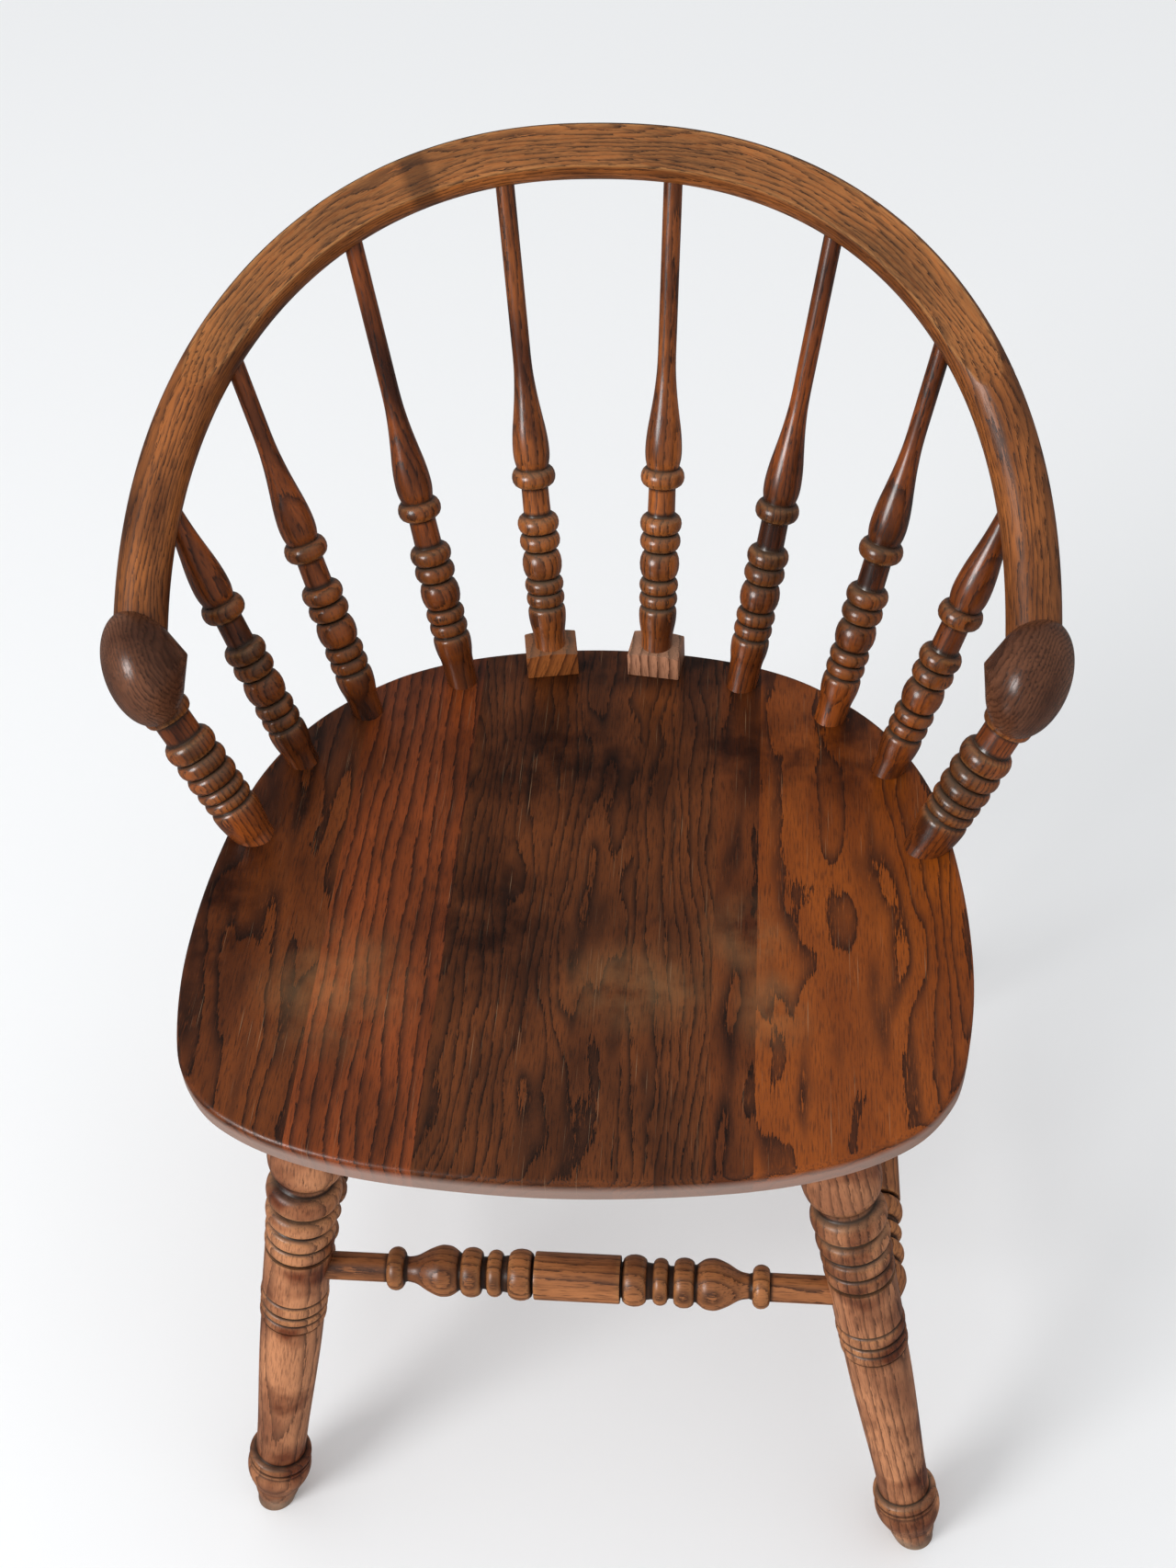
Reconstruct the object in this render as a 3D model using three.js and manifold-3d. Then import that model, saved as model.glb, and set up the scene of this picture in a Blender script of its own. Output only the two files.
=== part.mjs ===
// Turned oak arm chair with a steam-bent bow: millimetres, +Z up, the sitter faces -Y.
// Left and right are as seen by someone who stands in front of the chair.
import * as THREE from 'three';
import { mergeVertices } from 'three/addons/utils/BufferGeometryUtils.js';
import Module from 'manifold-3d';

// Seat panel
const seatTop = 440;
const seatThickness = 29;
const seatEdgeRound = 4;
const seatChamferHeight = 13;
const seatChamferWidth = 18;
const seatOutlineSteps = 48;
const seatHalfOutline = [
  [0, -275], [93, -269], [156, -256], [200, -236], [224, -212], [237, -181], [245, -119],
  [242, -42], [227.5, 36], [198.5, 92], [157, 132], [114.5, 154.5], [62, 167.5], [0, 172.5],
];

// Bow: half a superellipse in a tilted plane, carried on straight to the arm ends; the bend came
// out a little squarer on the right
const bowHalfWidth = 278;
const bowDepth = 233.4;
const bowCentreY = 35;
const bowCentreHeight = 578;
const bowSlope = 0.844;
const bowSquareness = { left: 2.18, right: 2.28 };
const bowRadius = 17;
const bowArmLength = 7;
const bowFlatHeight = 10.6;
const bowFlatStartY = 186;
const bowFlatRunOut = 46;

// Knobs at the arm ends: a blunt cone towards the sitter, a dome outwards and a little forwards
const knobTip = [249, 27.3, 563.6];
const knobDirection = [1, -0.43, -0.05];
const knobTipRadius = 2;
const knobMiddle = 30;
const knobRadius = 38;
const knobConeReach = 25.6;
const knobDomeReach = 23.7;
const knobConeEdge = 28;
const knobDomeEdge = 174;
const knobSteps = 7;

// Arm posts
const postFoot = [221, -11, seatTop];
const postHead = [281, 18, 559.3];
const postFootRadius = 13;
const postTenonRadius = 9;
const postTenonEnd = 126;
const postRingTop = 107;
const postRingLength = 10;
const postRingRadius = 16.2;

// Spindles from the middle outwards: foot on the seat, x of the head in the bow, height of the ball
const spindleFeet = {
  left: [[-35.3, 156], [-97.6, 138.3], [-160.8, 106.2], [-198.7, 57.4]],
  right: [[39.7, 156], [99.6, 138.3], [160.8, 106.2], [198.7, 57.4]],
};
const spindleHeads = { left: [-55.3, -153.7, -229.8, -269], right: [53.3, 156.4, 226.6, 269.6] };
const spindleBallHeights = [59, 67.5, 64, 60];
const spindleFootRadius = 10.7;
const spindleHeadRadius = 6;
const spindleShoulder = 4;
const blockTenonRadius = 7;
const socketDepth = 14;

// Blocks under the two middle spindles
const blockWidth = 36;
const blockDepth = 26;
const blockHeight = 21;
const blockCrown = 2;
const blockPlaces = { left: [-34.7, 155], right: [39.1, 155] };
const blockTurn = 8.3;

// Legs: top and foot of the axis, and how far the turning stands proud of its socket
const legPlaces = {
  front_left: { top: [-155, -190], foot: [-230.2, -263], proud: -2.5 },
  front_right: { top: [155, -190], foot: [230.2, -270.2], proud: 2.5 },
  rear_left: { top: [-145, 80], foot: [-227.5, 182], proud: 0 },
  rear_right: { top: [145, 80], foot: [227.5, 182], proud: 0 },
};
const legTenonRadius = 15;
const legTenonLength = 17;
const legSpare = 12;
const floorCut = 90;

// Stretchers: places along the legs, and the half length for which the turning is drawn
const crossStretcherPlace = 170.5;
const sideStretcherPlace = 295;
const stretcherEndRadius = 9.2;
const stretcherTenonLength = 8;
const stretcherPattern = 177;

const gap = 0.3;
const turningSides = 8;
const legSides = 10;
const knobSides = 16;
const bowSides = 12;
const bowSteps = 36;

const wasm = await Module();
wasm.setup();

const chair = new THREE.Group();
const lathAxis = new THREE.Vector3(0, 1, 0);
const seatUnderside = seatTop - seatThickness;

// A closed solid from a geometry, with shared corners merged and empty triangles dropped
function solid(geometry) {
  const bare = geometry.clone();
  bare.deleteAttribute('normal');
  bare.deleteAttribute('uv');
  const merged = mergeVertices(bare, 1e-3);
  const corners = merged.index.array;
  const kept = [];
  for (let i = 0; i < corners.length; i += 3) {
    const [a, b, c] = corners.slice(i, i + 3);
    if (a !== b && b !== c && c !== a) {
      kept.push(a, b, c);
    }
  }
  const vertProperties = new Float32Array(merged.attributes.position.array);
  const mesh = new wasm.Mesh({ numProp: 3, vertProperties, triVerts: new Uint32Array(kept) });
  return new wasm.Manifold(mesh);
}

function geometryOf(body) {
  const mesh = body.getMesh();
  const geometry = new THREE.BufferGeometry();
  geometry.setAttribute('position', new THREE.Float32BufferAttribute(mesh.vertProperties, 3));
  geometry.setIndex(Array.from(mesh.triVerts));
  geometry.computeVertexNormals();
  return geometry;
}

// Adds one piece; the cutters are given in the chair's frame and brought into the piece's own
function addPiece(name, geometry, frame, colour, roughness, cutters = []) {
  const toPiece = frame.clone().invert();
  let body = solid(geometry);
  for (const cutter of cutters) {
    body = body.subtract(solid(cutter.clone().applyMatrix4(toPiece)));
  }
  const material = new THREE.MeshStandardMaterial({ color: colour, roughness, metalness: 0 });
  const mesh = new THREE.Mesh(geometryOf(body), material);
  mesh.name = name;
  mesh.applyMatrix4(frame);
  chair.add(mesh);
}

// Frame of a turned piece: its axis runs from one point to another
function axisFrame(from, to) {
  const direction = to.clone().sub(from).normalize();
  const turn = new THREE.Quaternion().setFromUnitVectors(lathAxis, direction);
  return new THREE.Matrix4().compose(from, turn, new THREE.Vector3(1, 1, 1));
}

function mirrored([x, y, z], side) {
  return new THREE.Vector3(x * side, y, z);
}

// One bead of a turning: a swelling between two grooves
function bead(from, to, startRadius, radius, endRadius) {
  const points = [];
  const steps = 3;
  for (let step = 0; step <= steps; step += 1) {
    const angle = Math.PI * step / steps;
    const groove = startRadius + (endRadius - startRadius) * step / steps;
    const place = from + (to - from) * (1 - Math.cos(angle)) / 2;
    points.push([place, groove + (radius - groove) * Math.sin(angle) / Math.sin(Math.PI / steps)]);
  }
  return points;
}

// A turned solid from runs of [place along the axis, radius]; equal neighbours are joined
function turned(runs, sides) {
  const points = [];
  for (const [place, radius] of runs.flat()) {
    const last = points[points.length - 1];
    if (!last || Math.hypot(last.y - place, last.x - radius) > 0.2) {
      points.push(new THREE.Vector2(radius, place));
    }
  }
  const first = points[0];
  const end = points[points.length - 1];
  const profile = [new THREE.Vector2(0, first.y), ...points, new THREE.Vector2(0, end.y)];
  return new THREE.LatheGeometry(profile, sides);
}

// A plain socket for a round tenon, a little longer and wider than the tenon
function socket(from, to, radius, sides, frame) {
  const runs = [[[from - gap, radius + gap], [to + gap, radius + gap]]];
  return turned(runs, sides).applyMatrix4(frame);
}

// Point on the bow's centre line at a given x, between the left arm and the right arm
function bowPoint(x) {
  const power = x < 0 ? bowSquareness.left : bowSquareness.right;
  const reach = Math.min(1, Math.abs(x) / bowHalfWidth);
  const rise = bowDepth * (1 - reach ** power) ** (1 / power);
  return new THREE.Vector3(x, bowCentreY + rise, bowCentreHeight + bowSlope * rise);
}

// Upper half of a spindle: a vase that thins out to the long head
function spindleHead(ball, length, extra) {
  const vase = [[74, 12.1], [87, 12], [110, 8.7], [143, spindleHeadRadius]];
  const taper = vase.map(([place, radius]) => [ball + place, radius + extra]);
  return [...taper, [length + extra, spindleHeadRadius + extra]];
}

// Spindle turning: plug, two beads, ball, two rings, neck, collar, vase and head
function spindleRuns(ball, length, onBlock) {
  const plug = [[-socketDepth, spindleFootRadius]];
  const tenon = [
    [-socketDepth, blockTenonRadius],
    [-spindleShoulder, blockTenonRadius],
    [-spindleShoulder, spindleFootRadius],
  ];
  return [
    onBlock ? tenon : plug,
    [[ball - 52, 11], [ball - 41, 12.9], [ball - 33, 12.8]],
    bead(ball - 31, ball - 21, 11.3, 13.3, 11.4),
    bead(ball - 21, ball - 10.5, 11.4, 13.4, 11.6),
    bead(ball - 10.5, ball + 10, 11.6, 13.4, 10),
    bead(ball + 10, ball + 22.5, 10, 13.9, 10.2),
    bead(ball + 22.5, ball + 35, 10.2, 14.2, 9.2),
    bead(ball + 55.5, ball + 69, 8.8, 14.8, 10.8),
    spindleHead(ball, length, 0),
  ];
}

// Arm post turning: the same language, thicker, with the ring that bears the knob
function postRuns() {
  return [
    [[-socketDepth, postFootRadius], [8, postFootRadius], [17, 15.9], [24, 16]],
    bead(26, 34.5, 14.5, 16.2, 14.5),
    bead(34.5, 43, 14.5, 16.5, 14.5),
    bead(43, 55, 14.5, 16.9, 13.9),
    bead(55, 67, 13.9, 17, 14),
    bead(67, 82, 14, 17.1, 12.6),
    bead(postRingTop - postRingLength, postRingTop, 12.6, postRingRadius, 13),
    [[postRingTop, postTenonRadius], [postTenonEnd, postTenonRadius]],
  ];
}

// Leg turning, measured down from the seat: bulb, ring, beads, plain band for the cross stretcher,
// beads, tapered shaft, ankle ring, bulb and toe
function legRuns(length) {
  return [
    [[-legTenonLength, legTenonRadius], [8, legTenonRadius], [34, 22.4], [57, 25], [70, 25]],
    bead(83.5, 107, 20.8, 23.7, 21.4),
    bead(107, 123, 21.4, 23.5, 21.4),
    bead(125, 136.5, 21.4, 23, 21.6),
    bead(136.5, 150, 21.6, 22.9, 22.2),
    bead(190.5, 202.5, 22.1, 22.8, 21.4),
    bead(202.5, 218.5, 21.4, 22.5, 21.2),
    [[262, 20.6]],
    bead(369.5, 379, 17.5, 22.1, 21.4),
    [[387, 22.6], [394, 21.8], [405, 17.8]],
    [[406, 16.8], [417, 15.2], [length, 13]],
  ];
}

// Half of the stretcher turning, from its end to the middle, then the same mirrored; the pattern is
// drawn out with the length
function stretcherRuns(halfLength) {
  const stretch = halfLength / stretcherPattern;
  const half = [
    [[-stretcherPattern, stretcherEndRadius], [-124.5, stretcherEndRadius]],
    bead(-124.5, -112, stretcherEndRadius, 14.2, 8),
    [[-104, 9.6], [-95, 14.6], [-87, 16.6], [-81, 15.2]],
    bead(-76, -61, 11, 16.2, 10.5),
    bead(-61, -47, 10.5, 15.3, 11.4),
    bead(-47, -28.5, 11.4, 16.7, 11.4),
    [[-28, 15.5]],
  ].flat().map(([place, radius]) => [place * stretch, radius]);
  const other = half.map(([place, radius]) => [-place, radius]).reverse();
  return [half, other];
}

// Knob turning, measured from the point: a cone that meets one half ellipse, then the dome's half
function knobRuns() {
  const points = [[0, knobTipRadius]];
  for (let step = 0; step <= knobSteps; step += 1) {
    const degrees = knobConeEdge + (knobDomeEdge - knobConeEdge) * step / knobSteps;
    const angle = THREE.MathUtils.degToRad(degrees);
    const reach = degrees < 90 ? knobConeReach : knobDomeReach;
    points.push([knobMiddle - reach * Math.cos(angle), knobRadius * Math.sin(angle)]);
  }
  return [points];
}

// Where each turned piece stands
const sides = { left: -1, right: 1 };

const legs = {};
for (const [name, { top, foot, proud }] of Object.entries(legPlaces)) {
  const to = new THREE.Vector3(foot[0], foot[1], 0);
  const underSeat = new THREE.Vector3(top[0], top[1], seatUnderside);
  const direction = to.clone().sub(underSeat).normalize();
  const from = underSeat.addScaledVector(direction, proud);
  legs[name] = { from, to, direction, frame: axisFrame(from, to), sockets: [] };
}

const spindles = [];
for (const sideName of Object.keys(sides)) {
  spindleFeet[sideName].forEach(([x, y], index) => {
    const onBlock = index === 0;
    const from = new THREE.Vector3(x, y, onBlock ? seatTop + blockHeight + gap : seatTop);
    const to = bowPoint(spindleHeads[sideName][index]);
    const name = onBlock ? `spindle_center_${sideName}` : `spindle_${sideName}_${4 - index}`;
    const ball = spindleBallHeights[index];
    spindles.push({ name, sideName, from, to, onBlock, ball, frame: axisFrame(from, to) });
  });
}

const posts = [];
for (const [sideName, side] of Object.entries(sides)) {
  const frame = axisFrame(mirrored(postFoot, side), mirrored(postHead, side));
  posts.push({ sideName, side, frame });
}

// Each stretcher stands in sockets in two legs
const stretchers = [];
for (const [name, first, second, place] of [
  ['stretcher_front', legs.front_left, legs.front_right, crossStretcherPlace],
  ['stretcher_rear', legs.rear_left, legs.rear_right, crossStretcherPlace],
  ['stretcher_left', legs.front_left, legs.rear_left, sideStretcherPlace],
  ['stretcher_right', legs.front_right, legs.rear_right, sideStretcherPlace],
]) {
  const start = first.from.clone().addScaledVector(first.direction, place);
  const end = second.from.clone().addScaledVector(second.direction, place);
  const middle = start.clone().lerp(end, 0.5);
  const halfLength = start.distanceTo(end) / 2 - stretcherTenonLength;
  const frame = axisFrame(middle, end);
  const hole = socket(-halfLength, halfLength, stretcherEndRadius, turningSides, frame);
  first.sockets.push(hole);
  second.sockets.push(hole);
  stretchers.push({ name, halfLength, frame });
}

// Seat: edge-glued panel with a rounded upper edge and a chamfer under it
const rightHalf = seatHalfOutline.map(([x, y]) => new THREE.Vector3(x, y, 0));
const leftHalf = seatHalfOutline.slice(1, -1).map(([x, y]) => new THREE.Vector3(-x, y, 0)).reverse();
const seatCurve = new THREE.CatmullRomCurve3([...rightHalf, ...leftHalf], true);
const seatPoints = seatCurve.getSpacedPoints(seatOutlineSteps).slice(0, -1);
const seatShape = new THREE.Shape(seatPoints.map(({ x, y }) => new THREE.Vector2(x, y)));
const seatPanel = new THREE.ExtrudeGeometry(seatShape, {
  depth: seatThickness - 2 * seatEdgeRound,
  bevelThickness: seatEdgeRound,
  bevelSize: seatEdgeRound,
  bevelOffset: -seatEdgeRound,
  bevelSegments: 2,
}).translate(0, 0, seatEdgeRound);
const seatUnderCut = new THREE.ExtrudeGeometry(seatShape, {
  depth: 2 * seatThickness,
  bevelThickness: seatChamferHeight,
  bevelSize: seatChamferWidth,
  bevelOffset: -seatChamferWidth + gap,
  bevelSegments: 1,
}).translate(0, 0, seatChamferHeight);
const seatGeometry = geometryOf(solid(seatPanel).intersect(solid(seatUnderCut)));
const seatSockets = [];
for (const leg of Object.values(legs)) {
  seatSockets.push(socket(-legTenonLength, seatThickness, legTenonRadius, legSides, leg.frame));
}
for (const spindle of spindles.filter((one) => !one.onBlock)) {
  seatSockets.push(socket(-socketDepth, seatThickness, spindleFootRadius, turningSides, spindle.frame));
}
for (const post of posts) {
  seatSockets.push(socket(-socketDepth, seatThickness, postFootRadius, legSides, post.frame));
}
const seatFrame = new THREE.Matrix4().makeTranslation(0, 0, seatUnderside);
addPiece('seat', seatGeometry, seatFrame, '#5a3220', 0.45, seatSockets);

// Legs, cut level with the floor
for (const [name, { from, to, frame, sockets }] of Object.entries(legs)) {
  const turning = turned(legRuns(from.distanceTo(to) + legSpare), legSides);
  const floor = new THREE.BoxGeometry(floorCut, floorCut, floorCut).translate(to.x, to.y, -floorCut / 2);
  addPiece(`leg_${name}`, turning, frame, '#7a4a2e', 0.5, [floor, ...sockets]);
}

for (const { name, halfLength, frame } of stretchers) {
  addPiece(name, turned(stretcherRuns(halfLength), turningSides), frame, '#6e4028', 0.45);
}

// Blocks with a crowned top, glued near the rear edge of the seat and turned to face the sitter
const blockShape = new THREE.Shape();
blockShape.moveTo(-blockWidth / 2, 0);
blockShape.lineTo(blockWidth / 2, 0);
blockShape.lineTo(blockWidth / 2, blockHeight - blockCrown);
blockShape.quadraticCurveTo(0, blockHeight + blockCrown, -blockWidth / 2, blockHeight - blockCrown);
const blockSides = { depth: blockDepth, bevelEnabled: false, curveSegments: 6 };
for (const { sideName, frame: spindleFrame } of spindles.filter((one) => one.onBlock)) {
  const geometry = new THREE.ExtrudeGeometry(blockShape, blockSides);
  geometry.translate(0, 0, -blockDepth / 2).rotateX(Math.PI / 2);
  const turn = THREE.MathUtils.degToRad(-sides[sideName] * blockTurn);
  const frame = new THREE.Matrix4().makeRotationZ(turn);
  frame.setPosition(...blockPlaces[sideName], seatTop + gap);
  const cutters = [
    socket(-socketDepth, blockHeight, blockTenonRadius, turningSides, spindleFrame),
    socket(-spindleShoulder, blockHeight, spindleFootRadius, turningSides, spindleFrame),
  ];
  addPiece(`block_${sideName}`, geometry, frame, '#8a5230', 0.55, cutters);
}

for (const { name, from, to, ball, onBlock, frame } of spindles) {
  const runs = spindleRuns(ball, from.distanceTo(to), onBlock);
  addPiece(name, turned(runs, turningSides), frame, '#5e3620', 0.42);
}

for (const { sideName, frame } of posts) {
  addPiece(`arm_post_${sideName}`, turned(postRuns(), legSides), frame, '#5a321e', 0.42);
}

// Bow: round rod bent to the superellipse, planed flat on the upper face of the back
const armEnd = [bowHalfWidth, bowCentreY - bowArmLength, bowCentreHeight - bowSlope * bowArmLength];
const bowPath = [mirrored(armEnd, 1)];
for (let step = 0; step <= bowSteps; step += 1) {
  bowPath.push(bowPoint(bowHalfWidth * Math.cos(Math.PI * step / bowSteps)));
}
bowPath.push(mirrored(armEnd, -1));
const bowSection = new THREE.Shape();
bowSection.absarc(0, 0, bowRadius, 0, 2 * Math.PI);
const bowGeometry = new THREE.ExtrudeGeometry(bowSection, {
  steps: bowSteps,
  curveSegments: bowSides / 2,
  extrudePath: new THREE.CatmullRomCurve3(bowPath),
});
const slopeLength = Math.hypot(1, bowSlope);
const alongSlope = new THREE.Vector3(0, 1 / slopeLength, bowSlope / slopeLength);
const acrossX = new THREE.Vector3(1, 0, 0);
const offPlane = new THREE.Vector3().crossVectors(acrossX, alongSlope);
const flatShape = new THREE.Shape();
const flatEnd = bowDepth * slopeLength;
flatShape.moveTo(-bowFlatRunOut, bowRadius + 1);
flatShape.quadraticCurveTo(-bowFlatRunOut / 3, bowFlatHeight, 0, bowFlatHeight);
flatShape.lineTo(flatEnd, bowFlatHeight);
flatShape.lineTo(flatEnd, 2 * bowRadius);
flatShape.lineTo(-bowFlatRunOut, 2 * bowRadius);
const flatFrame = new THREE.Matrix4().makeBasis(alongSlope, offPlane, acrossX);
const flatHeight = bowCentreHeight + bowSlope * (bowFlatStartY - bowCentreY);
flatFrame.setPosition(-bowHalfWidth, bowFlatStartY, flatHeight);
const flatCutter = new THREE.ExtrudeGeometry(flatShape, {
  depth: 2 * bowHalfWidth,
  bevelEnabled: false,
  curveSegments: 6,
}).applyMatrix4(flatFrame);
const bowSockets = [flatCutter];
for (const { from, to, ball, frame } of spindles) {
  const head = spindleHead(ball, from.distanceTo(to), gap);
  bowSockets.push(turned([head], turningSides).applyMatrix4(frame));
}
addPiece('bow', bowGeometry, new THREE.Matrix4(), '#6b3f22', 0.4, bowSockets);

// Knobs, bored for the arm end and for the head of the post with its ring
for (const { sideName, side, frame: postFrame } of posts) {
  const tip = mirrored(knobTip, side);
  const frame = axisFrame(tip, tip.clone().add(mirrored(knobDirection, side)));
  const end = mirrored(armEnd, side);
  const armFrame = axisFrame(end, end.clone().add(alongSlope));
  const cutters = [
    socket(0, 3 * bowRadius, bowRadius + gap, knobSides, armFrame),
    socket(0, postTenonEnd, postTenonRadius, legSides, postFrame),
    socket(0, postRingTop, postRingRadius, legSides, postFrame),
  ];
  addPiece(`knob_${sideName}`, turned(knobRuns(), knobSides), frame, '#4a2a1c', 0.38, cutters);
}

export default chair;
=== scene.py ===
import math

import bmesh
import bpy
from mathutils import Matrix, Vector


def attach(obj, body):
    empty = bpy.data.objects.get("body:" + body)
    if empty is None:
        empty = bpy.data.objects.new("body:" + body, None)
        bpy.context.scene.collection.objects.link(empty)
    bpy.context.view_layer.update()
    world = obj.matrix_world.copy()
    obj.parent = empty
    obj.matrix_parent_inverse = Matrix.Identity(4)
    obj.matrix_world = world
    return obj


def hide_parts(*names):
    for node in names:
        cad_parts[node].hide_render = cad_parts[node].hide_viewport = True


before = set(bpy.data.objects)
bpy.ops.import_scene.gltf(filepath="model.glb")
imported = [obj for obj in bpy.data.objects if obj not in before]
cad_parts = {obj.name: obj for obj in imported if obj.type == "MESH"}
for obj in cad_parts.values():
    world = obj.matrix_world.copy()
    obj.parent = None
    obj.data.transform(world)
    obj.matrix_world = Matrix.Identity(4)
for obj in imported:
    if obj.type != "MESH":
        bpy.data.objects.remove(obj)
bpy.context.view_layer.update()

# Legs: four oak legs turned on a lathe, splayed, and glued into sockets under the seat.
# Beads frame the plain band where the cross stretcher enters, and a ring sits above the worn toe.
# The two front legs were seated a few millimetres apart in depth, so their beads do not line up.
MM = 0.001
SEAT_TOP = 440 * MM
SEAT_THICKNESS = 29 * MM
SEAT_UNDERSIDE = SEAT_TOP - SEAT_THICKNESS
# Facets round a turning, and the widest and the narrowest gap between points of its outline, in mm
TURNING_STEPS = 48
PROFILE_STEP = 2.5
PROFILE_LEAST_STEP = 0.05
WELD = 0.01 * MM
SMOOTH_BELOW = math.radians(38)


def bead(start, end, start_radius, radius, end_radius, steps=8):
    """A rounded swelling of a turning between two grooves, as (place, radius) points in mm."""
    points = []
    for step in range(steps + 1):
        share = step / steps
        groove = start_radius + (end_radius - start_radius) * share
        place = start + (end - start) * (1 - math.cos(math.pi * share)) / 2
        points.append((place, groove + (radius - groove) * math.sin(math.pi * share)))
    return points


def flowing(*points, steps=5):
    """A smooth line through a few points in a plane."""
    line = []
    for index in range(len(points) - 1):
        before = points[max(index - 1, 0)]
        start, end = points[index], points[index + 1]
        after = points[min(index + 2, len(points) - 1)]
        for step in range(steps):
            t = step / steps
            line.append(tuple(
                0.5 * (2 * b + (c - a) * t + (2 * a - 5 * b + 4 * c - d) * t * t
                       + (3 * b - a - 3 * c + d) * t ** 3)
                for a, b, c, d in zip(before, start, end, after)))
    line.append(points[-1])
    return line


def finish_piece(name, builder, place, node, material):
    """Makes the object of one piece, keeps its place in its mesh and hands it to the frame.

    The attribute "ledge" is 1 where the surface faces straight up, so that dust can lie on it.
    """
    bmesh.ops.transform(builder, matrix=place, verts=builder.verts)
    builder.normal_update()
    ledge = builder.verts.layers.float.new("ledge")
    for vert in builder.verts:
        vert[ledge] = max(0, vert.normal.z)
    mesh = bpy.data.meshes.new(name)
    builder.to_mesh(mesh)
    builder.free()
    mesh.shade_smooth()
    mesh.set_sharp_from_angle(angle=SMOOTH_BELOW)
    piece = bpy.data.objects.new(name, mesh)
    bpy.context.scene.collection.objects.link(piece)
    mesh.materials.append(material)
    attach(piece, "root")
    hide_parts(node)


def axis_place(start, end):
    """The matrix that stands a turning, made along +Z, on the line between two points."""
    turn = Vector((0, 0, 1)).rotation_difference(Vector(end) - Vector(start))
    return Matrix.Translation(start) @ turn.to_matrix().to_4x4()


def timber(turn, shift):
    """Where a turning lies in its oak blank: turned about its axis, then shifted, in mm."""
    return Matrix.Translation(shift) @ Matrix.Rotation(turn, 4, "Z")


# A point lies in a groove, or on a crest, by how far it is below, or above, the outline on both
# sides of it: the reach to either side and the full depth in mm, and how far a crest is painted
# lighter, as rubbed varnish and a painted highlight
HOLLOW_REACH = 2.2
HOLLOW_DEPTH = 1.1
CREST_RUBBED_AND_LIT = 0.45


def turning(runs, blank_place, steps=TURNING_STEPS, beaded=True):
    """A turned solid along +Z from runs of (place, radius) in mm.

    Three attributes go with it: "blank", the place in the timber in mm with the grain along Z,
    and for a beaded turning "groove", which is 1 in the bottom of a groove, where grime and painted
    shade darken it, and "crest", which tells how far the top of a bead is painted lighter, as
    rubbed varnish and a painted highlight.
    """
    profile = []
    for place, radius in [point for run in runs for point in run]:
        if profile:
            last_place, last_radius = profile[-1]
            gap = math.hypot(place - last_place, radius - last_radius)
            if gap < PROFILE_LEAST_STEP:
                continue
            steps_between = math.ceil(gap / PROFILE_STEP)
            for step in range(1, steps_between):
                share = step / steps_between
                between = last_place + (place - last_place) * share
                profile.append((between, last_radius + (radius - last_radius) * share))
        profile.append((place, radius))

    def radius_at(place):
        for (start, start_radius), (end, end_radius) in zip(profile, profile[1:]):
            if start <= place < end:
                return start_radius + (end_radius - start_radius) * (place - start) / (end - start)
        return profile[0][1] if place < profile[0][0] else profile[-1][1]

    builder = bmesh.new()
    blank = builder.verts.layers.float_vector.new("blank")
    groove = builder.verts.layers.float.new("groove")
    crest = builder.verts.layers.float.new("crest")
    outline = [builder.verts.new((0, 0, profile[0][0] * MM))]
    for place, radius in profile:
        vert = builder.verts.new((radius * MM, 0, place * MM))
        if beaded:
            # The groove mark darkens hollows, as grime and painted shade
            around = (radius_at(place - HOLLOW_REACH) + radius_at(place + HOLLOW_REACH)) / 2
            vert[groove] = min(1, max(0, (around - radius) / HOLLOW_DEPTH))
            # The crest mark lightens the tops of beads, as rubbed varnish and a painted highlight
            vert[crest] = CREST_RUBBED_AND_LIT * min(1, max(0, (radius - around) / HOLLOW_DEPTH))
        outline.append(vert)
    outline.append(builder.verts.new((0, 0, profile[-1][0] * MM)))
    edges = [builder.edges.new(pair) for pair in zip(outline, outline[1:])]
    bmesh.ops.spin(
        builder, geom=outline + edges, cent=(0, 0, 0), axis=(0, 0, 1), angle=math.tau,
        steps=steps, use_merge=True)
    bmesh.ops.remove_doubles(builder, verts=builder.verts, dist=WELD)
    bmesh.ops.recalc_face_normals(builder, faces=builder.faces)
    for vert in builder.verts:
        vert[blank] = blank_place @ (vert.co / MM)
    return builder


def srgb(code):
    """A hex colour as linear RGBA."""
    values = [int(code[i:i + 2], 16) / 255 for i in (1, 3, 5)]
    return [v / 12.92 if v <= 0.04045 else ((v + 0.055) / 1.055) ** 2.4 for v in values] + [1]


def add(tree, kind, inputs=None, **settings):
    """Adds a node with its settings, and links or sets its inputs."""
    node = tree.nodes.new(kind)
    for name, value in settings.items():
        setattr(node, name, value)
    for name, value in (inputs or {}).items():
        if isinstance(value, bpy.types.NodeSocket):
            tree.links.new(value, node.inputs[name])
        else:
            node.inputs[name].default_value = value
    return node


# The inputs and the output of a Mix node that works on colours
MIX_A, MIX_B, MIX_RESULT = 6, 7, 2
# Sizes in oak, in mm, twice across the grain and once along it. Pores are drawn a little over life
# size, so that they show.
RING_BENDS = (38, 38, 170)
PORES = (1, 1, 12)
STAIN_CLOUDS = (30, 30, 85)
RING_FINGERS = 4
PORE_DEPTH = 0.2 * MM
VARNISH_SPECULAR = 0.45
COAT_ROUGHNESS = 0.18
# Rubbed oak, which on crests is also a painted highlight
RUBBED_OAK_AND_HIGHLIGHT = "#b57d48"
# Grime and painted shade, laid in the grooves
GROOVE_GRIME_AND_SHADE = "#301d12"
DUST = "#79634d"


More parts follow.
